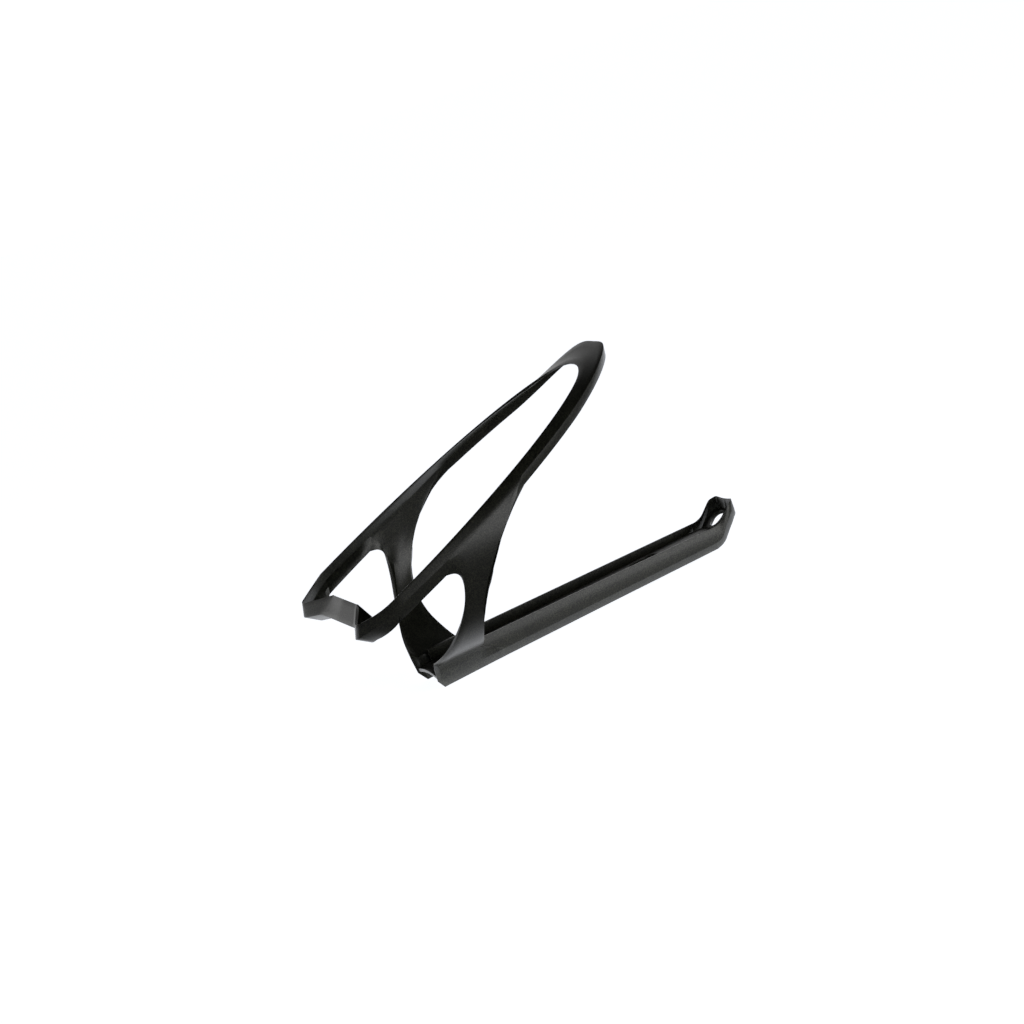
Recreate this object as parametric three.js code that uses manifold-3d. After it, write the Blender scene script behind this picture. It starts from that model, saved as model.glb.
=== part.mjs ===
// Water bottle cage for a bicycle frame: one moulded carbon-composite monocoque,
// laid up from folded laminate sections. Millimetres, +Z away from the frame tube.
// X runs along the down tube from the foot to the lip, Y is the symmetry normal,
// and the origin is the middle of the flat seat that bolts to the tube.
import * as THREE from 'three';
import { mergeVertices } from 'three/addons/utils/BufferGeometryUtils.js';
import Module from 'manifold-3d';

const wasm = await Module();
wasm.setup();

// ---- driving dimensions -------------------------------------------------
const bottleRadius = 36.8;      // a standard 73 to 74 mm bottle
const bottleFit = 0.1;          // clearance between bottle and band
const wall = 1.2;               // laminate thickness
const jointGap = 0.3;           // bond line between two sections

const boltSpacing = 64;         // standard bottle bosses
const slotWidth = 5.5;          // for M5 screws
const slotLength = 12;
const seatWidth = 9.5;          // flat seat under the rail
const seatMargin = 14;          // seat beyond each bolt centre

const railTop = 8.9;            // rail wall height above the tube seat
const railTopHalf = 8.2;        // half width across the wall tops
const railFoldHalf = 9.0;       // half width across the fold of the walls
const railSkirtHalf = 7.5;      // half width across the skirt edges
const footLength = 58;          // from the seat's middle back to the foot
const railLength = 54;          // from the seat's middle to the lip bend
const foldHeightFoot = 1.8;     // height of the fold at the foot
const foldHeightLip = 3.4;      // and at the lip
const skirtHeightFoot = -1.4;   // the skirts straddle a round tube
const skirtHeightLip = 0.7;
const floorArch = 1.0;          // rise of the arched floor
const footWebHeight = 6.5;      // height of the fold between foot web and leg
const footWebHalf = 10.0;       // half width across the foot
const notchStep = 40.6;         // where the leg's front edge meets the rail

const lipRun = 16.0;            // length of the kicked-up lip
const lipTipHeight = 15.3;
const lipTipHalf = 6.3;
const lipHoleWidth = 6;         // round hole in the lip
const lipWallDrop = 4.7;        // depth of the wall that closes the lip

const hoopSlope = 0.398;        // rise of the hoop along the bottle
const hoopStart = -63;          // where its top edge is level with the bottle axis
const creaseProud = 0.9;        // the crease stands off the bottle
const noseFlare = 4.2;          // the crease flares further towards the nose
const sillWidth = 19.8;         // band and sill together, along the bottle
const rimDrop = 3.3;            // the rim hangs down from the crease
const rimInset = 0.35;          // and leans in a little
const kinkAngle = 25.5;         // degrees round the bottle, where the leg leaves the hoop
const noseAngle = 60;           // and where the nose begins

const bendX = -70.3;            // the hoop leaves the bottle at its base
const bendCreaseDrop = 3.0;     // the crease there, below the top edge
const cornerX = -83.2;
const cornerInset = 8.4;        // how far the tail tapers in
const cornerRadius = 2.6;
const tailBulge = 1.0;          // the taper is slightly bowed
const panelTopX = -75.4;
const panelTopHeight = 39.3;
const panelTopHalf = 12.4;
const panelFootX = -80.2;
const panelFootHeight = 33.4;
const panelFootHalf = 17.5;
const bottleBaseX = -74.1;

// ---- values that follow -------------------------------------------------
const degree = Math.PI / 180;
const bandRadius = bottleRadius + bottleFit + wall;
const creaseRadius = bandRadius + creaseProud;
const axisHeight = railTop + Math.sqrt(bottleRadius ** 2 - railTopHalf ** 2);
const railBack = -footLength;

const spline = (points) => new THREE.SplineCurve(points.map(([a, b]) => new THREE.Vector2(a, b)));

// value of a curve given as (position, value) pairs, read at a position
function valueAt(pairs, position) {
  const last = pairs.length - 1;
  if (position <= pairs[0][0]) return pairs[0][1];
  if (position >= pairs[last][0]) return pairs[last][1];
  const i = pairs.findIndex(([p]) => p > position) - 1;
  const t = (position - pairs[i][0]) / (pairs[i + 1][0] - pairs[i][0]);
  const ease = t * t * (3 - 2 * t);
  return pairs[i][1] + (pairs[i + 1][1] - pairs[i][1]) * ease;
}

const mix = (a, b, t) => a + (b - a) * t;

// a point on a cylinder round the bottle; side is +1 on the left, -1 on the right
function onBottle(x, angle, radius, side) {
  const y = side * radius * Math.cos(angle * degree);
  return new THREE.Vector3(x, y, axisHeight + radius * Math.sin(angle * degree));
}

const angleAtHeight = (height, radius) => Math.asin((height - axisHeight) / radius) / degree;

// ---- laminate shells ----------------------------------------------------
// A grid of points on the outer face, thickened inwards to a closed body. The
// inner face is mitred at folds, so the laminate keeps its thickness there.
function shell(grid, thickness = wall) {
  const rows = grid.length;
  const columns = grid[0].length;
  const cellNormal = (i, j) => {
    const a = grid[i + 1][j + 1].clone().sub(grid[i][j]);
    const b = grid[i][j + 1].clone().sub(grid[i + 1][j]);
    return a.cross(b).normalize();
  };
  const inner = grid.map((row, i) => row.map((point, j) => {
    const around = [];
    for (const ci of [i - 1, i]) {
      for (const cj of [j - 1, j]) {
        if (ci >= 0 && cj >= 0 && ci < rows - 1 && cj < columns - 1) around.push(cellNormal(ci, cj));
      }
    }
    const normal = around.reduce((sum, n) => sum.add(n), new THREE.Vector3()).normalize();
    const spread = around.reduce((sum, n) => sum + n.dot(normal), 0) / around.length;
    return point.clone().addScaledVector(normal, -thickness / spread);
  }));
  const points = [...grid.flat(), ...inner.flat()];
  const positions = points.flatMap((p) => [p.x, p.y, p.z]);
  const outerAt = (i, j) => i * columns + j;
  const innerAt = (i, j) => rows * columns + i * columns + j;
  const index = [];
  // split on the shorter diagonal, so that left and right pieces mirror exactly
  const quad = (a, b, c, d) => {
    if (points[a].distanceTo(points[c]) <= points[b].distanceTo(points[d])) index.push(a, b, c, a, c, d);
    else index.push(b, c, d, b, d, a);
  };
  for (let i = 0; i < rows - 1; i++) {
    for (let j = 0; j < columns - 1; j++) {
      quad(outerAt(i, j), outerAt(i + 1, j), outerAt(i + 1, j + 1), outerAt(i, j + 1));
      quad(innerAt(i, j), innerAt(i, j + 1), innerAt(i + 1, j + 1), innerAt(i + 1, j));
    }
  }
  for (let i = 0; i < rows - 1; i++) {
    quad(outerAt(i, 0), innerAt(i, 0), innerAt(i + 1, 0), outerAt(i + 1, 0));
    quad(outerAt(i, columns - 1), outerAt(i + 1, columns - 1),
      innerAt(i + 1, columns - 1), innerAt(i, columns - 1));
  }
  for (let j = 0; j < columns - 1; j++) {
    quad(outerAt(0, j), outerAt(0, j + 1), innerAt(0, j + 1), innerAt(0, j));
    quad(outerAt(rows - 1, j), innerAt(rows - 1, j), innerAt(rows - 1, j + 1), outerAt(rows - 1, j + 1));
  }
  const geometry = new THREE.BufferGeometry();
  geometry.setAttribute('position', new THREE.Float32BufferAttribute(positions, 3));
  geometry.setIndex(index);
  return outwards(geometry);
}

// turns a closed body's faces outwards when its volume comes out negative
function outwards(geometry) {
  const p = geometry.attributes.position;
  const index = geometry.index.array;
  const [a, b, c] = [new THREE.Vector3(), new THREE.Vector3(), new THREE.Vector3()];
  let volume = 0;
  for (let t = 0; t < index.length; t += 3) {
    a.fromBufferAttribute(p, index[t]);
    b.fromBufferAttribute(p, index[t + 1]);
    c.fromBufferAttribute(p, index[t + 2]);
    volume += a.dot(b.cross(c));
  }
  if (volume < 0) {
    for (let t = 0; t < index.length; t += 3) {
      [index[t + 1], index[t + 2]] = [index[t + 2], index[t + 1]];
    }
  }
  return geometry;
}

// mirrored grids face the other way, so their rows run backwards
const handed = (grid, side) => (side > 0 ? grid : grid.map((row) => [...row].reverse()));

// ---- cuts ---------------------------------------------------------------
function solidOf(geometry) {
  const bare = geometry.clone();
  bare.deleteAttribute('normal');
  bare.deleteAttribute('uv');
  const merged = mergeVertices(bare, 1e-4);
  return new wasm.Manifold(new wasm.Mesh({
    numProp: 3,
    vertProperties: Float32Array.from(merged.attributes.position.array),
    triVerts: Uint32Array.from(merged.index.array),
  }));
}

function geometryOf(solid) {
  const mesh = solid.getMesh();
  const geometry = new THREE.BufferGeometry();
  geometry.setAttribute('position', new THREE.Float32BufferAttribute(mesh.vertProperties, 3));
  geometry.setIndex([...mesh.triVerts]);
  return geometry;
}

// an upright bar with rounded ends, long enough to cut through the floor
function slotBar(centreX, length, width) {
  const half = (length - width) / 2;
  const outline = new THREE.Shape();
  outline.absarc(half, 0, width / 2, -Math.PI / 2, Math.PI / 2);
  outline.absarc(-half, 0, width / 2, Math.PI / 2, Math.PI * 1.5);
  const height = 4 * railTop;
  const bar = new THREE.ExtrudeGeometry(outline, { depth: height, bevelEnabled: false, curveSegments: 10 });
  bar.translate(centreX, 0, -height / 2);
  return solidOf(bar);
}

function cut(geometry, bars) {
  return geometryOf(bars.reduce((body, bar) => body.subtract(bar), solidOf(geometry)));
}

// ---- rail ---------------------------------------------------------------
const alongRail = (x) => (x - railBack) / (railLength - railBack);
const foldHeight = (x) => mix(foldHeightFoot, foldHeightLip, alongRail(x));
const skirtHeight = (x) => mix(skirtHeightFoot, skirtHeightLip, alongRail(x));
const steps = (from, to, count) => Array.from({ length: count + 1 }, (_, i) => mix(from, to, i / count));

// wall and skirt, folded outwards between them
function railWall(side) {
  const rows = steps(jointGap - notchStep, railLength, 4).map((x) => [
    new THREE.Vector3(x, side * railTopHalf, railTop),
    new THREE.Vector3(x, side * railFoldHalf, foldHeight(x)),
    new THREE.Vector3(x, side * railSkirtHalf, skirtHeight(x)),
  ]);
  return shell(handed(rows, side));
}

// the short web at the foot, where the leg comes down onto the rail
function footWeb(side) {
  const skirtSetback = 2.4;
  const rows = steps(railBack + jointGap, -notchStep - jointGap, 3).map((x, i) => {
    const flare = mix(footWebHalf, railFoldHalf + 0.5, i / 3);
    return [
      new THREE.Vector3(x, side * flare, footWebHeight),
      new THREE.Vector3(x, side * (flare - 0.2), foldHeight(x)),
      new THREE.Vector3(x + (i === 0 ? skirtSetback : 0), side * (flare - 1.7), skirtHeight(x)),
    ];
  });
  return shell(handed(rows, side));
}

const floorHalf = railFoldHalf - wall - 0.9;
const floorHeight = (x, y) => foldHeight(x) + 0.3 + floorArch * (1 - (y / floorHalf) ** 2);

function floor() {
  const rows = steps(railBack + 0.8, railLength - jointGap, 6).map((x) =>
    steps(floorHalf, -floorHalf, 6).map((y) => new THREE.Vector3(x, y, floorHeight(x, y))));
  const bars = [-1, 1].map((end) => slotBar((end * boltSpacing) / 2, slotLength, slotWidth));
  return cut(shell(rows), bars);
}

// flat seat on the tube, with the same slots as the floor
function tubeSeat() {
  const end = boltSpacing / 2 + seatMargin;
  const rows = steps(-end, end, 4).map((x) => {
    const top = floorHeight(x, seatWidth / 2) - wall - jointGap;
    return { x, top };
  });
  const outline = new THREE.Shape();
  outline.moveTo(-end, 0);
  outline.lineTo(end, 0);
  rows.reverse().forEach(({ x, top }) => outline.lineTo(x, top));
  const block = new THREE.ExtrudeGeometry(outline, { depth: seatWidth, bevelEnabled: false });
  block.rotateX(Math.PI / 2);
  block.translate(0, seatWidth / 2, 0);
  const bars = [-1, 1].map((side) => slotBar((side * boltSpacing) / 2, slotLength, slotWidth));
  return cut(block, bars);
}

// ---- lip ----------------------------------------------------------------
const along = (t, half, height) => new THREE.Vector3(t * lipRun, half, height);
const lipTopPath = new THREE.CatmullRomCurve3([
  along(0, railTopHalf, railTop),
  along(0.31, railTopHalf - 0.1, railTop),
  along(0.55, railTopHalf - 0.2, mix(railTop, lipTipHeight, 0.2)),
  along(0.7, railTopHalf - 0.3, mix(railTop, lipTipHeight, 0.52)),
  along(0.85, railTopHalf - 0.7, mix(railTop, lipTipHeight, 0.86)),
  along(1, lipTipHalf, lipTipHeight),
]);
const lipFoldPath = new THREE.CatmullRomCurve3([
  along(0, railFoldHalf, foldHeightLip),
  along(0.3, railFoldHalf - 0.1, foldHeightLip + 0.2),
  along(0.48, railFoldHalf - 0.2, mix(foldHeightLip, lipTipHeight, 0.18)),
  along(0.63, railFoldHalf - 0.5, mix(foldHeightLip, lipTipHeight, 0.4)),
  along(0.8, railFoldHalf - 1, mix(foldHeightLip, lipTipHeight, 0.58)),
  along(0.98, lipTipHalf + 0.2, mix(foldHeightLip, lipTipHeight, 0.7)),
]);
const lipSkirtPath = new THREE.CatmullRomCurve3([
  along(0, railSkirtHalf, skirtHeightLip),
  along(0.32, railSkirtHalf - 0.1, skirtHeightLip + 0.4),
  along(0.5, railSkirtHalf - 0.2, mix(skirtHeightLip, lipTipHeight, 0.12)),
  along(0.65, railSkirtHalf - 0.4, mix(skirtHeightLip, lipTipHeight, 0.27)),
  along(0.84, railSkirtHalf - 0.9, mix(skirtHeightLip, lipTipHeight, 0.48)),
  along(0.98, lipTipHalf - 0.6, mix(skirtHeightLip, lipTipHeight, 0.62)),
]);
const lipFloorPath = new THREE.CatmullRomCurve3([
  along(0, floorHalf, foldHeightLip + 0.4),
  along(0.31, floorHalf, foldHeightLip + 0.4),
  along(0.55, floorHalf - 0.4, foldHeightLip + 2),
  along(0.7, floorHalf - 1, foldHeightLip + 3.5),
  along(0.86, lipTipHalf - wall - 0.7, foldHeightLip + 4.9),
]);

function lipCheek(side) {
  const start = new THREE.Vector3(railLength + jointGap, 0, 0);
  const rows = steps(0, 1, 8).map((t) => [lipTopPath, lipFoldPath, lipSkirtPath].map((path) => {
    const point = path.getPoint(t);
    return new THREE.Vector3(point.x, side * point.y, point.z).add(start);
  }));
  return shell(handed(rows, side));
}

// the floor turns up between the cheeks and has a round hole in it
function lipRamp() {
  const rows = steps(0, 1, 10).map((t) => {
    const edge = lipFloorPath.getPoint(t);
    return steps(1, -1, 4).map((across) => new THREE.Vector3(
      railLength + jointGap + edge.x,
      across * edge.y,
      edge.z + floorArch * (1 - across ** 2) * (1 - t),
    ));
  });
  const holeX = railLength + 0.68 * lipRun;
  const barrel = new THREE.CylinderGeometry(lipHoleWidth / 2, lipHoleWidth / 2, 4 * railTop, 24);
  barrel.rotateX(Math.PI / 2);
  barrel.translate(holeX, 0, 0);
  return cut(shell(rows), [solidOf(barrel)]);
}

// upright wall that closes the lip, with an arched top edge
function lipEndWall() {
  const x = railLength + lipRun - 0.2;
  const half = lipTipHalf - wall - 0.5;
  const foot = lipTipHeight - lipWallDrop;
  const rows = steps(half, -half, 6).map((y) => {
    const arch = 0.5 * (1 - (y / half) ** 2);
    return [
      new THREE.Vector3(x + 0.3, y, lipTipHeight - 0.4 + arch),
      new THREE.Vector3(x, y, foot),
    ];
  });
  return shell(rows);
}

// ---- hoop ---------------------------------------------------------------
// The hoop follows the bottle. Its top edge lies in a slanted plane; the crease
// and the lower edge follow it at their own widths, measured along the bottle.
const creaseWidth = [[-9, 8], [10, 10.6], [27, 8.8], [50, 8.9], [74, 10.8], [90, 9.1]];
const creaseFlare = [[46, 0], [76, 0.9], [90, 0.75]];
const noseLand = [[64, 0], [90, 1.5]];

const topX = (angle) => hoopStart + (bandRadius * Math.sin(angle * degree)) / hoopSlope;
const creaseX = (angle) => topX(angle) + valueAt(creaseWidth, angle);
const sillX = (angle) => topX(angle) + sillWidth;
const flared = (angle) => creaseRadius + noseFlare * valueAt(creaseFlare, angle);

const topEdge = (angle, side) => onBottle(topX(angle) - valueAt(noseLand, angle), angle, bandRadius, side);
const creaseEdge = (angle, side) => onBottle(creaseX(angle), angle, flared(angle), side);
const sillEdge = (angle, side) => onBottle(sillX(angle), angle, bandRadius, side);

function rimEdge(angle, side) {
  const lean = new THREE.Vector3(-Math.sin(angle * degree), -side * Math.cos(angle * degree), 0);
  const point = creaseEdge(angle, side).addScaledVector(lean, rimInset);
  return point.setZ(point.z - rimDrop);
}

// where the sections meet, as the angle that each edge has reached there
const bendTopHeight = axisHeight + hoopSlope * (bendX - hoopStart);
const bend = [
  angleAtHeight(bendTopHeight, bandRadius),
  angleAtHeight(bendTopHeight - bendCreaseDrop, creaseRadius),
  angleAtHeight(bendTopHeight - hoopSlope * sillWidth, bandRadius),
];
const windowCorner = [8, 3, -4.3];
const kink = [kinkAngle + 5, kinkAngle, kinkAngle];
const noseJoint = [noseAngle + 2, noseAngle, noseAngle];
const crown = [90, 90, 90];
const seam = 0.25;              // half a bond line between sections, in degrees
const tailSeam = 0.5;           // more where the tail turns in, for its slanted end
const legShift = 1.8;           // the leg starts this far along from the crease

// a length of the hoop between two joints, trimmed by half a bond line
function band(edges, from, to, count, side) {
  return steps(0, 1, count).map((t) => edges.map((edge, k) =>
    edge(mix(from[k] + seam, to[k] - seam, t), side)));
}

const hoopLower = (side) =>
  shell(handed(band([topEdge, creaseEdge, sillEdge], bend, windowCorner, 5, side), side));
const hoopMiddle = (side) =>
  shell(handed(band([topEdge, creaseEdge], windowCorner, kink, 8, side), side));
const hoopUpper = (side) =>
  shell(handed(band([topEdge, creaseEdge, rimEdge], kink, noseJoint, 10, side), side));

function hoopNose() {
  const edges = [topEdge, creaseEdge, rimEdge];
  const left = band(edges, noseJoint, crown, 7, 1).slice(0, -1);
  const right = band(edges, noseJoint, crown, 7, -1).slice(0, -1).reverse();
  const middle = edges.map((edge) => edge(crown[0], 1).setY(0));
  return shell([...left, middle, ...right]);
}

// ---- legs ---------------------------------------------------------------
// Each leg is a skin that wraps the bottle, with a flange folded in along its
// back edge. Edges are drawn unrolled: position along the rail, angle in degrees.
const legFootAngle = -Math.acos((footWebHalf + 0.1) / (creaseRadius + 0.4)) / degree;
const underCrease = (angle) => [creaseX(angle) + legShift, angle];
const legFront = spline([[-13.8, 21], [-22.5, 10], [-30.4, -1.5], [-37.2, -15.5], [-42, -38], [-40.4, legFootAngle]]);
const legRidge = spline([
  underCrease(windowCorner[1]),
  [-38, 7.2],
  [-41.5, -13.5],
  [-48.5, -37],
  [-55.8, legFootAngle],
]);
const legWindow = spline([
  [sillX(windowCorner[2]) + legShift, windowCorner[2]],
  [-45.8, -7.4],
  [-46.3, -20],
  [-52.2, -42],
  [-57.6, legFootAngle + 6],
]);

function leg(side) {
  const skinColumns = 5;
  const rows = steps(0, 1, 16).map((t) => {
    const front = legFront.getPoint(t);
    const ridge = legRidge.getPoint(t);
    const window = legWindow.getPoint(t);
    const skinRadius = creaseRadius + 0.4 * t;
    const skin = steps(0, 1, skinColumns).map((across) => {
      const angle = mix(front.y, ridge.y, across);
      const x = Math.max(mix(front.x, ridge.x, across), creaseX(angle) + legShift);
      return onBottle(x, angle, skinRadius, side);
    });
    return [...skin, onBottle(window.x, window.y, bandRadius, side)];
  });
  return shell(handed(rows, side));
}

// ---- end of the hoop ----------------------------------------------------
// Past the bottle's base the hoop tapers in, turns a corner and runs inwards as
// a cheek on each side of the slanted panel that the bottle stands on.
function tailCorner(side) {
  const start = [topEdge, creaseEdge, sillEdge].map((edge, k) => edge(bend[k] - tailSeam, side));
  const cornerHalf = bandRadius - cornerInset;
  const corner = [
    new THREE.Vector3(cornerX, side * cornerHalf, bendTopHeight - 5),
    new THREE.Vector3(cornerX - 1.3, side * (cornerHalf - 0.7), bendTopHeight - 9.7),
    new THREE.Vector3(cornerX + 3.5, side * (cornerHalf - 1.3), bendTopHeight - 12.9),
  ];
  const end = [
    new THREE.Vector3(panelTopX, side * (panelTopHalf + jointGap), panelTopHeight),
    new THREE.Vector3(panelFootX, side * (panelFootHalf + jointGap), panelFootHeight),
    new THREE.Vector3(panelFootX + 4.6, side * (panelFootHalf + 1.2), panelFootHeight - 3.4),
  ];
  const columns = corner.map((point, k) => {
    const into = point.clone().sub(start[k]).setLength(cornerRadius);
    const away = end[k].clone().sub(point).setLength(cornerRadius);
    const round = new THREE.QuadraticBezierCurve3(point.clone().sub(into), point, point.clone().add(away));
    const middle = start[k].clone().lerp(point.clone().sub(into), 0.5);
    middle.add(new THREE.Vector3(0, side * tailBulge, -tailBulge / 3));
    return [start[k], middle, ...round.getPoints(4), end[k]].reverse();
  });
  const rows = columns[0].map((_, i) => columns.map((column) => column[i]));
  return shell(handed(rows, side));
}

function basePanel() {
  const ridge = 0.35;
  const rows = steps(-1, 1, 4).map((across) => {
    const lift = ridge * (1 - Math.abs(across));
    return [
      new THREE.Vector3(panelTopX - lift, across * (panelTopHalf - jointGap), panelTopHeight + lift),
      new THREE.Vector3(panelFootX - lift, across * (panelFootHalf - jointGap), panelFootHeight + lift),
    ];
  });
  return shell(rows);
}

// the shoulder behind each fold line carries the bottle's rounded base edge
function shoulder(side) {
  const behind = 0.9;           // between the shoulder and the cheek
  const setback = 2.2;          // the lower end leans further back
  const edge = (x, half, height) => new THREE.Vector3(x + behind, side * half, height);
  const rows = [
    [
      edge(bottleBaseX, panelTopHalf + 1.8, panelTopHeight - 1.0),
      edge(panelTopX + 0.35, panelTopHalf + 1.3, panelTopHeight - 0.6),
    ],
    [
      edge(bottleBaseX, panelFootHalf + 1.4, panelFootHeight + 0.8),
      edge(panelFootX + setback + 1.6, panelFootHalf + 0.6, panelFootHeight + 0.9),
    ],
  ];
  return shell(handed(rows, side), wall * 0.8);
}

// ---- assembly -----------------------------------------------------------
const laminate = () => new THREE.MeshStandardMaterial({ color: 0x1b1c1c, roughness: 0.48, metalness: 0 });

const cage = new THREE.Group();

function add(name, geometry) {
  const mesh = new THREE.Mesh(geometry, laminate());
  mesh.name = name;
  cage.add(mesh);
}

const pairs = {
  rail_wall: railWall,
  foot_web: footWeb,
  lip_cheek: lipCheek,
  leg: leg,
  hoop_lower: hoopLower,
  hoop_middle: hoopMiddle,
  hoop_upper: hoopUpper,
  tail_corner: tailCorner,
  base_shoulder: shoulder,
};
for (const [name, make] of Object.entries(pairs)) {
  add(`${name}_left`, make(1));
  add(`${name}_right`, make(-1));
}
add('rail_floor', floor());
add('tube_seat', tubeSeat());
add('lip_ramp', lipRamp());
add('lip_end_wall', lipEndWall());
add('hoop_nose', hoopNose());
add('base_panel', basePanel());

export default cage;
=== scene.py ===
import math

import bpy
from mathutils import Matrix, Vector


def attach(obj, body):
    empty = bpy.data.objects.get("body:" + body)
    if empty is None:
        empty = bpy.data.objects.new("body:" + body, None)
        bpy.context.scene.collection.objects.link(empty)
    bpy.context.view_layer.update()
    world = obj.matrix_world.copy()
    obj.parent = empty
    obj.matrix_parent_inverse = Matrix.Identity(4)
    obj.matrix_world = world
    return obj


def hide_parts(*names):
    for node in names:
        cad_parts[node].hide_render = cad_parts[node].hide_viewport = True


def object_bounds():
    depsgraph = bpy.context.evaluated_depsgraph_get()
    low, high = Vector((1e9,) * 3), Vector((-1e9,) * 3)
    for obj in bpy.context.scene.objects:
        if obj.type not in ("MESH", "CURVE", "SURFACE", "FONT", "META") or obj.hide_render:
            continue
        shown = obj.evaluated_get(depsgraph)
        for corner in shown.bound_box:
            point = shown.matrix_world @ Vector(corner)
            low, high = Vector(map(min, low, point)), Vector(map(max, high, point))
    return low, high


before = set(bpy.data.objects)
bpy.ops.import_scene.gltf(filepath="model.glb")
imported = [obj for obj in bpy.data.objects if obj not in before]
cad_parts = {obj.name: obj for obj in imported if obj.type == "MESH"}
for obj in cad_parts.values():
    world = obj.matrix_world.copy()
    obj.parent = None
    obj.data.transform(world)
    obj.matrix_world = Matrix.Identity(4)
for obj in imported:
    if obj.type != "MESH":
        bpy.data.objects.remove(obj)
cad_low, cad_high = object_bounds()

# ---- camera --------------------------------------------------------------
# A long studio lens, level with the middle of the cage and rolled a little,
# so that the rail climbs to the right and the hoop leans over it.
mm = 0.001
camera_data = bpy.data.cameras.new("studio_camera")
camera_data.lens = 79.1
camera_data.sensor_width = 36
camera = bpy.data.objects.new("studio_camera", camera_data)
bpy.context.collection.objects.link(camera)
view_right = Vector((0.86064, -0.38649, -0.33155))
view_up = Vector((0.39231, 0.08816, 0.91560))
view_back = Vector((-0.32464, -0.91807, 0.22750))
turn = Matrix((view_right, view_up, view_back)).transposed().to_4x4()
camera.matrix_world = Matrix.Translation(Vector((-262.0, -717.86, 220.74)) * mm) @ turn
bpy.context.scene.camera = camera

# ---- studio --------------------------------------------------------------
# A white sweep that glows behind and below the part and falls off in front and
# overhead, so that a dark satin part shows its folds and its downward faces.
bpy.ops.object.select_all(action="DESELECT")
table_height = cad_low.z - 0.0002
bpy.ops.mesh.primitive_circle_add(vertices=96, radius=4, fill_type="NGON", location=(0, 0, table_height))
table = bpy.context.object
table.name = "table_top"
bpy.ops.object.transform_apply(location=True, rotation=True, scale=True)
table_paint = bpy.data.materials.new("pale_table")
table_paint.use_nodes = True
sweep = table_paint.node_tree
table_shader = sweep.nodes["Principled BSDF"]
table_shader.inputs["Base Color"].default_value = (0.80, 0.80, 0.80, 1)
table_shader.inputs["Roughness"].default_value = 0.9
table_shader.inputs["Specular IOR Level"].default_value = 0.1
table_shader.inputs["Emission Color"].default_value = (0.93, 0.95, 1, 1)
spot = sweep.nodes.new("ShaderNodeTexCoord")
spot_axes = sweep.nodes.new("ShaderNodeSeparateXYZ")
falloff = sweep.nodes.new("ShaderNodeMapRange")
falloff.inputs["From Min"].default_value = -0.035
falloff.inputs["From Max"].default_value = -0.010
falloff.inputs["To Min"].default_value = 0.03
falloff.inputs["To Max"].default_value = 1.3
looked_at = sweep.nodes.new("ShaderNodeLightPath")
glow = sweep.nodes.new("ShaderNodeMix")
glow.inputs["B"].default_value = 1.0
sweep.links.new(spot.outputs["Object"], spot_axes.inputs[0])
sweep.links.new(spot_axes.outputs["Y"], falloff.inputs["Value"])
sweep.links.new(looked_at.outputs["Is Camera Ray"], glow.inputs["Factor"])
sweep.links.new(falloff.outputs[0], glow.inputs["A"])
sweep.links.new(glow.outputs["Result"], table_shader.inputs["Emission Strength"])
table.data.materials.append(table_paint)

world = bpy.data.worlds.new("studio_world")
bpy.context.scene.world = world
world.use_nodes = True
sky = world.node_tree
for node in list(sky.nodes):
    sky.nodes.remove(node)
direction = sky.nodes.new("ShaderNodeTexCoord")
split = sky.nodes.new("ShaderNodeSeparateXYZ")
behind = sky.nodes.new("ShaderNodeMapRange")
behind.inputs["From Min"].default_value = -0.1
behind.inputs["From Max"].default_value = 0.8
behind.inputs["To Min"].default_value = 0.10
behind.inputs["To Max"].default_value = 1.3
overhead = sky.nodes.new("ShaderNodeMapRange")
overhead.inputs["From Min"].default_value = 0.10
overhead.inputs["From Max"].default_value = 0.55
overhead.inputs["To Min"].default_value = 1.0
overhead.inputs["To Max"].default_value = 0.04
dimming = sky.nodes.new("ShaderNodeMath")
dimming.operation = "MULTIPLY"
seen = sky.nodes.new("ShaderNodeLightPath")
lighting = sky.nodes.new("ShaderNodeBackground")
backdrop = sky.nodes.new("ShaderNodeBackground")
backdrop.inputs["Strength"].default_value = 1.6
choose = sky.nodes.new("ShaderNodeMixShader")
sky_out = sky.nodes.new("ShaderNodeOutputWorld")
sky.links.new(direction.outputs["Generated"], split.inputs[0])
sky.links.new(split.outputs["Y"], behind.inputs["Value"])
sky.links.new(split.outputs["Z"], overhead.inputs["Value"])
sky.links.new(behind.outputs[0], dimming.inputs[0])
sky.links.new(overhead.outputs[0], dimming.inputs[1])
sky.links.new(dimming.outputs[0], lighting.inputs["Strength"])
sky.links.new(seen.outputs["Is Camera Ray"], choose.inputs[0])
sky.links.new(lighting.outputs[0], choose.inputs[1])
sky.links.new(backdrop.outputs[0], choose.inputs[2])
sky.links.new(choose.outputs[0], sky_out.inputs["Surface"])

softbox_data = bpy.data.lights.new("softbox", "AREA")
softbox_data.shape = "RECTANGLE"
softbox_data.size = 0.7
softbox_data.size_y = 0.5
softbox_data.energy = 3.0
softbox = bpy.data.objects.new("softbox", softbox_data)
bpy.context.collection.objects.link(softbox)
softbox.location = (0.45, -0.70, 0.16)
softbox.rotation_euler = (Vector((0, 0, 0.04)) - softbox.location).to_track_quat("-Z", "Y").to_euler()
bpy.context.scene.view_settings.view_transform = "Standard"

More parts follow.
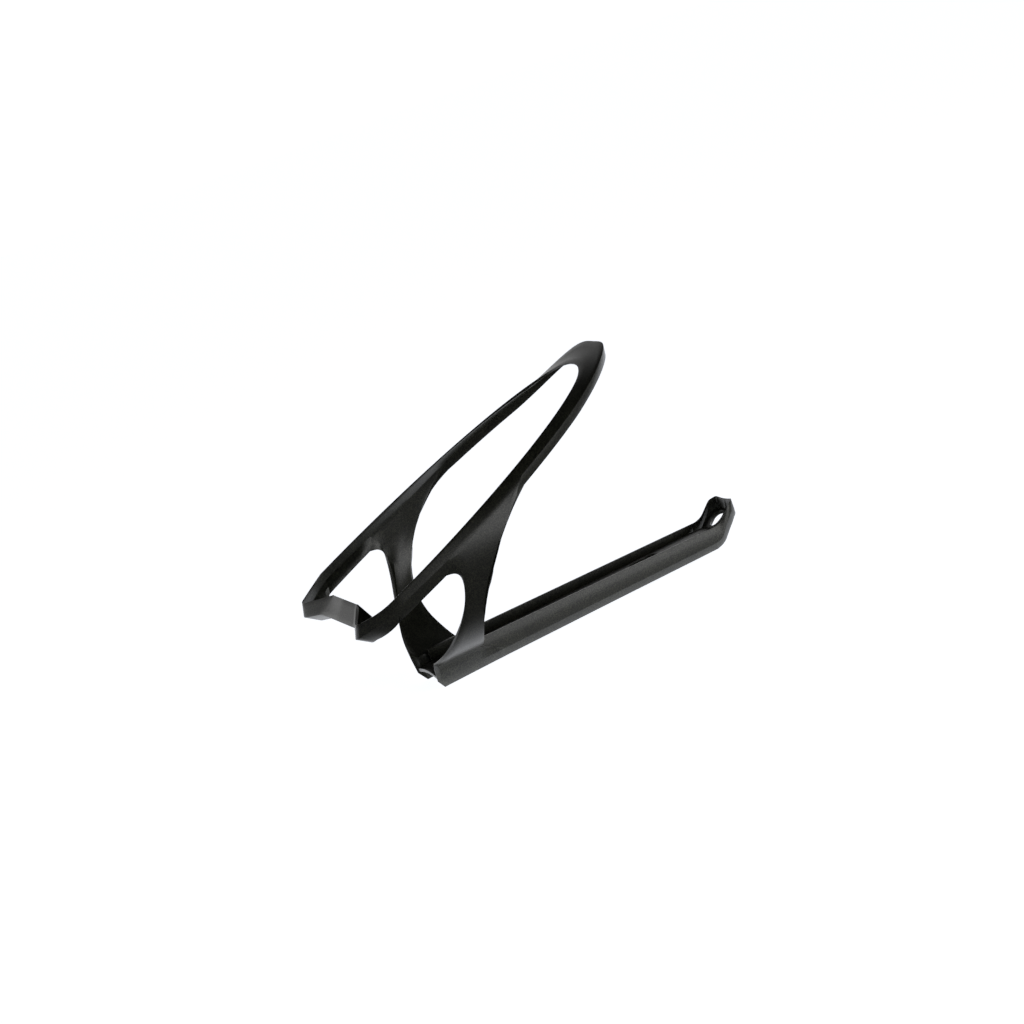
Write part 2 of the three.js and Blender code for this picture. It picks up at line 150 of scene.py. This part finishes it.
# ---- laminate ------------------------------------------------------------
# Short carbon fibres pressed in dark resin: nearly black, satin, with a fine
# grain of paler olive flecks and a faint ripple left by the mould.
laminate = bpy.data.materials.new("pressed_laminate")
laminate.use_nodes = True
weave = laminate.node_tree
resin = weave.nodes["Principled BSDF"]
place = weave.nodes.new("ShaderNodeTexCoord")
fleck = weave.nodes.new("ShaderNodeTexNoise")
fleck.inputs["Scale"].default_value = 2600
fleck.inputs["Detail"].default_value = 4
fleck.inputs["Roughness"].default_value = 0.62
fleck_tone = weave.nodes.new("ShaderNodeValToRGB")
fleck_tone.color_ramp.elements[0].position = 0.43
fleck_tone.color_ramp.elements[0].color = (0.0030, 0.0033, 0.0030, 1)
fleck_tone.color_ramp.elements[1].position = 0.62
fleck_tone.color_ramp.elements[1].color = (0.040, 0.042, 0.029, 1)
cloud = weave.nodes.new("ShaderNodeTexNoise")
cloud.inputs["Scale"].default_value = 160
cloud.inputs["Detail"].default_value = 3
cloud_tone = weave.nodes.new("ShaderNodeMapRange")
cloud_tone.inputs["From Min"].default_value = 0.3
cloud_tone.inputs["From Max"].default_value = 0.7
cloud_tone.inputs["To Min"].default_value = 0.75
cloud_tone.inputs["To Max"].default_value = 1.25
patchy = weave.nodes.new("ShaderNodeVectorMath")
patchy.operation = "SCALE"
satin = weave.nodes.new("ShaderNodeMapRange")
satin.inputs["From Min"].default_value = 0.3
satin.inputs["From Max"].default_value = 0.7
satin.inputs["To Min"].default_value = 0.36
satin.inputs["To Max"].default_value = 0.28
grain = weave.nodes.new("ShaderNodeBump")
grain.inputs["Strength"].default_value = 0.35
grain.inputs["Distance"].default_value = 0.00004
weave.links.new(place.outputs["Object"], fleck.inputs["Vector"])
weave.links.new(place.outputs["Object"], cloud.inputs["Vector"])
weave.links.new(fleck.outputs["Fac"], fleck_tone.inputs["Fac"])
weave.links.new(cloud.outputs["Fac"], cloud_tone.inputs["Value"])
weave.links.new(fleck_tone.outputs["Color"], patchy.inputs[0])
weave.links.new(cloud_tone.outputs[0], patchy.inputs["Scale"])
weave.links.new(patchy.outputs[0], resin.inputs["Base Color"])
weave.links.new(fleck.outputs["Fac"], satin.inputs["Value"])
weave.links.new(satin.outputs[0], resin.inputs["Roughness"])
weave.links.new(fleck.outputs["Fac"], grain.inputs["Height"])
weave.links.new(grain.outputs[0], resin.inputs["Normal"])

# ---- hoop and legs -------------------------------------------------------
# One folded sheet that wraps the bottle: a band with a crease along it, a sill
# below the crease at the lower end, a turned rim at the nose and a leg each side.
wall = 1.2
bottle_radius = 36.8
band_radius = bottle_radius + 0.1 + wall
crease_radius = band_radius + 0.9
rail_top = 8.9
rail_top_half = 8.2
axis_height = rail_top + math.sqrt(bottle_radius ** 2 - rail_top_half ** 2)
hoop_slope = 0.398
hoop_start = -63.0
nose_flare = 4.1
sill_width = 19.8
rim_drop = 3.3
rim_inset = 0.35
crease_width = ((-9, 8), (10, 10.6), (27, 8.8), (50, 8.9), (74, 10.8), (90, 9.1))
crease_flare = ((46, 0), (76, 0.9), (90, 0.75))
nose_land = ((64, 0), (90, 1.5))
nose_dish = ((40, 0), (75, 1))


def eased(pairs, at):
    if at <= pairs[0][0]:
        return pairs[0][1]
    for (low, first), (high, last) in zip(pairs, pairs[1:]):
        if at <= high:
            t = (at - low) / (high - low)
            return first + (last - first) * t * t * (3 - 2 * t)
    return pairs[-1][1]


def mix(a, b, t):
    return tuple(p + (q - p) * t for p, q in zip(a, b))


def on_bottle(place):
    along, angle, radius = place
    a = math.radians(angle)
    return (along, radius * math.cos(a), axis_height + radius * math.sin(a))


def top_edge(angle):
    along = hoop_start + band_radius * math.sin(math.radians(angle)) / hoop_slope
    return (along - eased(nose_land, angle), angle, band_radius)


def crease_edge(angle):
    along = top_edge(angle)[0] + eased(nose_land, angle) + eased(crease_width, angle)
    return (along, angle, crease_radius + nose_flare * eased(crease_flare, angle))


def rim_edge(angle):
    along, turned, radius = crease_edge(angle)
    half, rise = radius * math.cos(math.radians(turned)), radius * math.sin(math.radians(turned))
    half -= rim_inset * math.cos(math.radians(turned))
    rise -= rim_drop
    back = rim_inset * math.sin(math.radians(turned))
    return (along - back, math.degrees(math.atan2(rise, half)), math.hypot(half, rise))


def sill_edge(angle):
    return (top_edge(angle)[0] + sill_width, angle, band_radius)


def smooth(points, t):
    spans = len(points) - 1
    i = min(int(t * spans), spans - 1)
    u = t * spans - i
    p0 = points[max(i - 1, 0)]
    p1, p2 = points[i], points[i + 1]
    p3 = points[min(i + 2, spans)]
    return tuple(
        0.5 * (2 * b + (c - a) * u + (2 * a - 5 * b + 4 * c - d) * u * u + (3 * b - a - 3 * c + d) * u ** 3)
        for a, b, c, d in zip(p0, p1, p2, p3)
    )


def sheet(name, rows):
    bpy.ops.object.select_all(action="DESELECT")
    bpy.ops.mesh.primitive_grid_add(x_subdivisions=len(rows[0]) - 1, y_subdivisions=len(rows) - 1, size=1)
    piece = bpy.context.object
    piece.name = name
    across = len(rows[0])
    for i, row in enumerate(rows):
        for j, point in enumerate(row):
            piece.data.vertices[i * across + j].co = Vector(point) * mm
    return piece


def sew(name, sheets, mirrored=True):
    bpy.ops.object.select_all(action="DESELECT")
    for piece in sheets:
        piece.select_set(True)
    bpy.context.view_layer.objects.active = sheets[0]
    if len(sheets) > 1:
        bpy.ops.object.join()
    piece = bpy.context.object
    piece.name = name
    if mirrored:
        mirror = piece.modifiers.new("other_half", "MIRROR")
        mirror.use_axis = (False, True, False)
        mirror.merge_threshold = 0.00003
        bpy.ops.object.modifier_apply(modifier=mirror.name)
    bpy.ops.object.mode_set(mode="EDIT")
    bpy.ops.mesh.select_all(action="SELECT")
    bpy.ops.mesh.remove_doubles(threshold=0.00006)
    bpy.ops.mesh.normals_make_consistent(inside=False)
    bpy.ops.object.mode_set(mode="OBJECT")
    return piece


def harden(piece, thickness=wall, outside=1, softness=0.28):
    bpy.context.view_layer.objects.active = piece
    skin = piece.modifiers.new("laminate_thickness", "SOLIDIFY")
    skin.thickness = thickness * mm
    skin.offset = -outside
    skin.use_even_offset = False
    skin.thickness_clamp = 2
    edge = piece.modifiers.new("moulded_edges", "BEVEL")
    edge.width = softness * mm
    edge.segments = 2
    edge.limit_method = "ANGLE"
    edge.angle_limit = math.radians(26)
    edge.harden_normals = False
    bpy.ops.object.modifier_apply(modifier=skin.name)
    bpy.ops.object.modifier_apply(modifier=edge.name)
    bpy.ops.object.select_all(action="DESELECT")
    piece.select_set(True)
    bpy.ops.object.shade_smooth_by_angle(angle=math.radians(32))
    piece.data.materials.clear()
    piece.data.materials.append(laminate)


bend_height = axis_height + hoop_slope * (-70.3 - hoop_start)


def angle_at(height, radius):
    return math.degrees(math.asin((height - axis_height) / radius))


crease_drop = 3.0
sill_drop = 7.9
bend = (
    angle_at(bend_height, band_radius),
    angle_at(bend_height - crease_drop, crease_radius),
    angle_at(bend_height - sill_drop, band_radius),
)
corner_of_window = (8, 3, -4.3)
apex = (12.6, 7.6, 7.6)
kink = (30.5, 25.5, 25.5)
nose = (62, 60, 60)
crown = (90, 90, 90)


def stations(first, last, count):
    return [mix(first, last, i / count) for i in range(count)]


lower = stations(bend, corner_of_window, 8) + [corner_of_window]
window_side = stations(corner_of_window, apex, 2) + [apex]
middle = stations(apex, kink, 9) + [kink]
upper = stations(kink, nose, 16) + stations(nose, crown, 16) + [crown]


def band_row(angles, columns=5):
    top, crease = top_edge(angles[0]), crease_edge(angles[1])
    dish = 0.5 * eased(nose_dish, angles[1])
    row = []
    for j in range(columns):
        u = j / (columns - 1)
        along, angle, radius = mix(top, crease, u)
        row.append(on_bottle((along, angle, radius - dish * 4 * u * (1 - u))))
    return row


hoop_rows = [band_row(a) for a in lower + window_side[1:] + middle[1:] + upper[1:]]
band = sheet("band", hoop_rows)
rim_rows = []
for a in upper:
    fold, lower_edge = Vector(on_bottle(crease_edge(a[1]))), Vector(on_bottle(rim_edge(a[1])))
    if a is upper[-1]:
        fold.y = lower_edge.y = 0.0
    rim_rows.append([fold.lerp(lower_edge, u) for u in (0, 0.5, 1)])
rim = sheet("rim", rim_rows)
sill_rows = [[on_bottle(mix(crease_edge(a[1]), sill_edge(a[2]), u)) for u in (0, 0.5, 1)] for a in lower]
sill = sheet("sill", sill_rows)

# Each leg hangs from the crease: a skin that follows the bottle down to the
# rail, and a flange folded in along its rear edge, all of the same sheet.
web_half = 10.0
foot_angle = -math.degrees(math.acos((web_half + 0.1) / (crease_radius + 0.4)))
leg_steps = 26
front_line = (rim_edge(kink[2]), (-22.5, 10.5, 39.0), (-30.4, -1.5, 39.1), (-37.2, -15.5, 39.2),
              (-40.6, -29, 39.3), (-41.4, -45, 39.4), (-40.4, -60, 39.4), (-39.4, foot_angle, 39.4))
ridge_line = (crease_edge(apex[1]), (-39.0, -3, 39.1), (-41.3, -13.5, 39.2), (-44.6, -25.5, 39.3),
              (-48.2, -37, 39.4), (-51.6, -50, 39.4), (-54.2, -63, 39.4), (-55.8, foot_angle, 39.4))
window_line = (sill_edge(corner_of_window[2]), (-47.2, -5.4, 38.1), (-45.7, -9.2, 38.1), (-46.2, -18.5, 38.1),
               (-48.6, -30, 38.1), (-52.0, -42.5, 38.1), (-55.6, -58, 38.1), (-57.7, foot_angle + 4, 38.2))


def patch(top, bottom, first, last, count):
    rows = []
    for i in range(count + 1):
        t = i / count
        left, right = smooth(first, t), smooth(last, t)
        row = []
        for j in range(len(top)):
            a = j / (len(top) - 1)
            ruled = mix(left, right, a)
            spanned = mix(top[j], bottom[j], t)
            corners = mix(mix(top[0], bottom[0], t), mix(top[-1], bottom[-1], t), a)
            row.append(tuple(r + s - c for r, s, c in zip(ruled, spanned, corners)))
        rows.append(row)
    return rows


skin_top = [rim_edge(kink[2]), mix(rim_edge(kink[2]), crease_edge(kink[1]), 0.5)]
skin_top += [crease_edge(a[1]) for a in reversed(middle)]
skin_foot = [mix(front_line[-1], ridge_line[-1], j / (len(skin_top) - 1)) for j in range(len(skin_top))]
leg_rows = patch(skin_top, skin_foot, front_line, ridge_line, leg_steps)
skin_limit = [crease_radius + 0.4 * i / leg_steps for i in range(leg_steps + 1)]
leg_rows = [[(p[0], p[1], min(p[2], limit)) for p in row] for row, limit in zip(leg_rows, skin_limit)]
leg_skin = sheet("leg_skin", [[on_bottle(p) for p in row] for row in leg_rows])

flange_top = [crease_edge(a[1]) for a in reversed(window_side)]
sill_corner = sill_edge(corner_of_window[2])
flange_top += [mix(crease_edge(corner_of_window[1]), sill_corner, u) for u in (0.5, 1)]
last_column = len(flange_top) - 1
flange_foot = [mix(ridge_line[-1], window_line[-1], j / last_column) for j in range(len(flange_top))]
flange_rows = patch(flange_top, flange_foot, ridge_line, window_line, leg_steps)
flange_rows = [[(p[0], p[1], min(p[2], limit)) for p in row] for row, limit in zip(flange_rows, skin_limit)]
leg_flange = sheet("leg_flange", [[on_bottle(p) for p in row] for row in flange_rows])

# Below the leg the same sheet turns down the side of the rail as a short web,
# flared at the foot, that fades into the rail wall ahead of the leg.
fold_half = 9.0
skirt_half = 7.5
foot_end = -58.0
rail_end = 54.0


def fold_height(along):
    return 1.8 + 1.6 * (along - foot_end) / (rail_end - foot_end)


def skirt_height(along):
    return -1.4 + 2.1 * (along - foot_end) / (rail_end - foot_end)


web_top = [on_bottle(p) for p in leg_rows[-1]] + [on_bottle(p) for p in flange_rows[-1][1:]]
web_rows = []
for along in (-31.0, -33.0, -35.0, -37.5):
    rise = fold_height(along) + 0.4 + (-31.0 - along) * 0.52
    web_rows.append((along, (along, 9.1 - (rise - 2.2) * 0.12 + 0.12, rise)))
web_rows += [(point[0], point) for point in web_top]
web = []
for along, point in web_rows:
    flare = 0.12 + 0.75 * max(0.0, min(1.0, (-34.0 - along) / 20.0))
    pulled = max(along, foot_end + 0.4)
    fold = (pulled, fold_half + flare, fold_height(pulled))
    turn_in = mix(point, fold, 0.30)
    web.append([
        point,
        (turn_in[0], turn_in[1] - 0.10, turn_in[2]),
        fold,
        (pulled + max(0.0, -54.0 - pulled) * 0.6, skirt_half + flare, skirt_height(pulled)),
    ])
leg_web = sheet("leg_web", web)

# Past the bottle's base the band turns in at a rounded corner, and its cheeks
# meet a slanted panel that joins the two sides.
corner_x = -83.2
corner_half = band_radius - 8.4
corner_radius = 2.6
panel_top = (-75.4, 12.4, 39.3)
panel_foot = (-80.2, 17.5, 33.4)
corners = ((corner_x, corner_half, bend_height - 5.0),
           (corner_x - 1.3, corner_half - 0.7, bend_height - 9.7),
           (corner_x + 3.5, corner_half - 1.3, bend_height - 12.9))
cheek_ends = (panel_top, panel_foot, (panel_foot[0] + 4.6, panel_foot[1] + 1.2, panel_foot[2] - 3.4))
starts = (on_bottle(top_edge(bend[0])), on_bottle(crease_edge(bend[1])), on_bottle(sill_edge(bend[2])))


def tail_line(start, corner, end):
    start, corner, end = Vector(start), Vector(corner), Vector(end)
    before = corner + (start - corner).normalized() * corner_radius
    after = corner + (end - corner).normalized() * corner_radius
    line = []
    for i in range(5):
        u = i / 5
        point = start.lerp(before, u)
        bow = 4 * u * (1 - u)
        line.append(point + Vector((0, 1.0 * bow, -0.33 * bow)))
    for i in range(6):
        u = i / 5
        line.append(before.lerp(corner, u).lerp(corner.lerp(after, u), u))
    for i in range(1, 5):
        line.append(after.lerp(end, i / 4))
    return line


tail_top, tail_crease, tail_sill = (tail_line(*ends) for ends in zip(starts, corners, cheek_ends))
tail_band = sheet("tail_band", [[t.lerp(c, j / 4) for j in range(5)] for t, c in zip(tail_top, tail_crease)])
tail_sill_rows = [[c.lerp(s, j / 2) for j in range(3)] for c, s in zip(tail_crease, tail_sill)]
tail_sheet = sheet("tail_sill", tail_sill_rows)
panel_rows = []
for i in range(9):
    half = 1 - i / 8
    lift = 0.35 * (1 - half)
    head = Vector((panel_top[0] - lift, panel_top[1] * half, panel_top[2] + lift))
    toe = Vector((panel_foot[0] - lift, panel_foot[1] * half, panel_foot[2] + lift))
    panel_rows.append([head.lerp(toe, j / 4) for j in range(5)])
panel = sheet("panel", panel_rows)

hoop = sew("hoop_and_legs", [band, rim, sill, leg_skin, leg_flange, leg_web, tail_band, tail_sheet, panel])
harden(hoop)
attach(hoop, "root")
pairs = ("leg", "foot_web", "hoop_lower", "hoop_middle", "hoop_upper", "tail_corner")
both_sides = [f"{name}_{side}" for name in pairs for side in ("left", "right")]
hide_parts("hoop_nose", "base_panel", *both_sides)

# ---- shoulders -----------------------------------------------------------
# A small web behind each fold of the crosspiece stiffens it and takes the
# rounded edge of the bottle's base. It is moulded in one with the cheek.
for side, name in ((1, "left"), (-1, "right")):
    head = Vector((panel_top[0] + 0.4, side * (panel_top[1] + 0.2), panel_top[2] - 0.3))
    toe = Vector((panel_foot[0] + 0.8, side * (panel_foot[1] + 0.2), panel_foot[2] - 0.3))
    tip = Vector((-73.2, side * 18.9, 34.2))
    shoulder_rows = []
    for i in range(5):
        edge = head.lerp(toe, i / 4)
        far = tip.lerp(tip + Vector((-1.2, side * 0.7, -1.4)), i / 4)
        shoulder_rows.append([edge.lerp(far, j / 4) for j in range(5)])
    shoulder = sew("shoulder_" + name, [sheet("web", shoulder_rows)], mirrored=False)
    harden(shoulder, thickness=1.0, outside=0, softness=0.2)
    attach(shoulder, "root")
    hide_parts("base_shoulder_" + name)

# ---- rail ----------------------------------------------------------------
# The rail's wall is one long fold, a flat side over a narrow skirt, that runs
# from behind the leg to the lip, kicks up there and closes round its end.
wall_line = (
    (-52.0, 8.2, 8.9), (-20.0, 8.2, 8.9), (20.0, 8.2, 8.9), (54.0, 8.2, 8.9), (59.0, 8.1, 8.9),
    (61.0, 8.0, 9.3), (62.8, 8.0, 10.1), (65.0, 7.9, 12.1), (66.8, 7.8, 13.8), (67.7, 7.5, 14.5),
    (69.0, 6.9, 14.9), (69.9, 5.9, 15.2), (70.1, 4.8, 15.1), (70.1, 2.4, 14.9), (70.1, 0.0, 14.8),
)
fold_line = (
    (-52.0, 9.0, 1.9), (-20.0, 9.0, 2.3), (20.0, 9.0, 2.9), (54.0, 9.0, 3.4), (57.8, 8.9, 3.5),
    (60.5, 8.9, 4.3), (62.2, 8.8, 6.1), (64.0, 8.6, 8.2), (66.1, 8.3, 10.2), (67.8, 7.8, 11.5),
    (69.0, 7.0, 11.9), (69.8, 6.2, 11.4), (69.7, 4.9, 11.5), (69.7, 2.4, 11.5), (69.7, 0.0, 11.5),
)
skirt_line = (
    (-52.0, 7.5, -1.3), (-20.0, 7.5, -0.7), (20.0, 7.5, 0.1), (54.0, 7.5, 0.7), (59.0, 7.4, 1.0),
    (61.9, 7.3, 2.2), (63.6, 7.2, 3.8), (65.3, 7.0, 5.5), (67.0, 6.8, 7.1), (68.6, 6.4, 8.6),
    (69.8, 5.9, 9.6), (70.0, 5.2, 9.8), (69.4, 4.2, 10.0), (69.3, 2.1, 10.2), (69.3, 0.0, 10.2),
)
wall_steps = 84
wall_rows = []
for i in range(wall_steps + 1):
    t = i / wall_steps
    top, fold, skirt = (Vector(smooth(line, t)) for line in (wall_line, fold_line, skirt_line))
    for point in (top, fold, skirt):
        if i == wall_steps:
            point.y = 0.0
    wall_rows.append([top, top.lerp(fold, 0.5), fold, fold.lerp(skirt, 0.5), skirt])
rail = sew("rail_wall", [sheet("side", wall_rows)])
harden(rail)
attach(rail, "root")
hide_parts("rail_wall_left", "rail_wall_right", "lip_cheek_left", "lip_cheek_right", "lip_end_wall")

# ---- floor ---------------------------------------------------------------
# The floor is arched between the walls, slotted for the two mounting screws,
# and turns up into the lip, where a round hole lightens it.
floor_line = (
    (-57.2, 8.8, 1.2), (-46.0, 7.6, 2.2), (-30.0, 7.4, 2.7), (0.0, 7.4, 3.1), (30.0, 7.4, 3.5),
    (54.0, 7.4, 3.9), (59.0, 7.3, 3.9), (61.3, 7.2, 4.0), (63.0, 7.0, 5.2), (65.0, 6.7, 6.8),
    (67.0, 6.2, 8.1), (68.9, 5.2, 9.0),
)
floor_steps = 66
floor_rise = 1.0
floor_rows = []
for i in range(floor_steps + 1):
    t = i / floor_steps
    along, half, height = smooth(floor_line, t)
    arch = 1.1 * (1 - max(0.0, t - 0.55) / 0.45)
    across = [1 - j / 6 for j in range(13)]
    floor_rows.append([(along, u * half, height + floor_rise + arch * (1 - u * u)) for u in across])
floor = sew("rail_floor", [sheet("deck", floor_rows)], mirrored=False)
bpy.context.view_layer.objects.active = floor
deck = floor.modifiers.new("laminate_thickness", "SOLIDIFY")
deck.thickness = wall * mm
deck.offset = -1
bpy.ops.object.modifier_apply(modifier=deck.name)


def rounded_bar(name, centre, length, width):
    bpy.ops.object.select_all(action="DESELECT")
    bar_place = Vector(centre) * mm
    bpy.ops.mesh.primitive_cylinder_add(vertices=32, radius=width / 2 * mm, depth=40 * mm, location=bar_place)
    bar = bpy.context.object
    bar.name = name
    bpy.ops.object.transform_apply(location=True, rotation=True, scale=True)
    for vertex in bar.data.vertices:
        shift = (length - width) / 2 * mm
        vertex.co.x += shift if vertex.co.x > centre[0] * mm else -shift
    return bar


for centre, length, width in (((-32, 0, 4), 12, 5.5), ((32, 0, 4), 12, 5.5), ((64.9, 0, 6), 6.02, 6.0)):
    bar = rounded_bar("slot_bar", centre, length, width)
    cut = floor.modifiers.new("slot", "BOOLEAN")
    cut.operation = "DIFFERENCE"
    cut.object = bar
    cut.solver = "EXACT"
    bpy.context.view_layer.objects.active = floor
    bpy.ops.object.modifier_apply(modifier=cut.name)
    bpy.data.objects.remove(bar, do_unlink=True)
soft = floor.modifiers.new("moulded_edges", "BEVEL")
soft.width = 0.2 * mm
soft.segments = 2
soft.limit_method = "ANGLE"
soft.angle_limit = math.radians(40)
bpy.ops.object.modifier_apply(modifier=soft.name)
bpy.ops.object.select_all(action="DESELECT")
floor.select_set(True)
bpy.ops.object.shade_smooth_by_angle(angle=math.radians(32))
floor.data.materials.clear()
floor.data.materials.append(laminate)
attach(floor, "root")
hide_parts("rail_floor", "lip_ramp")

# ---- seat ----------------------------------------------------------------
# A flat strip moulded under the rail, slotted with it, is what lies on the
# frame tube. It keeps its plain solid and takes the same laminate.
for part_slot in range(max(1, len(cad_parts["tube_seat"].material_slots))):
    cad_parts["tube_seat"].material_slots[part_slot].material = laminate
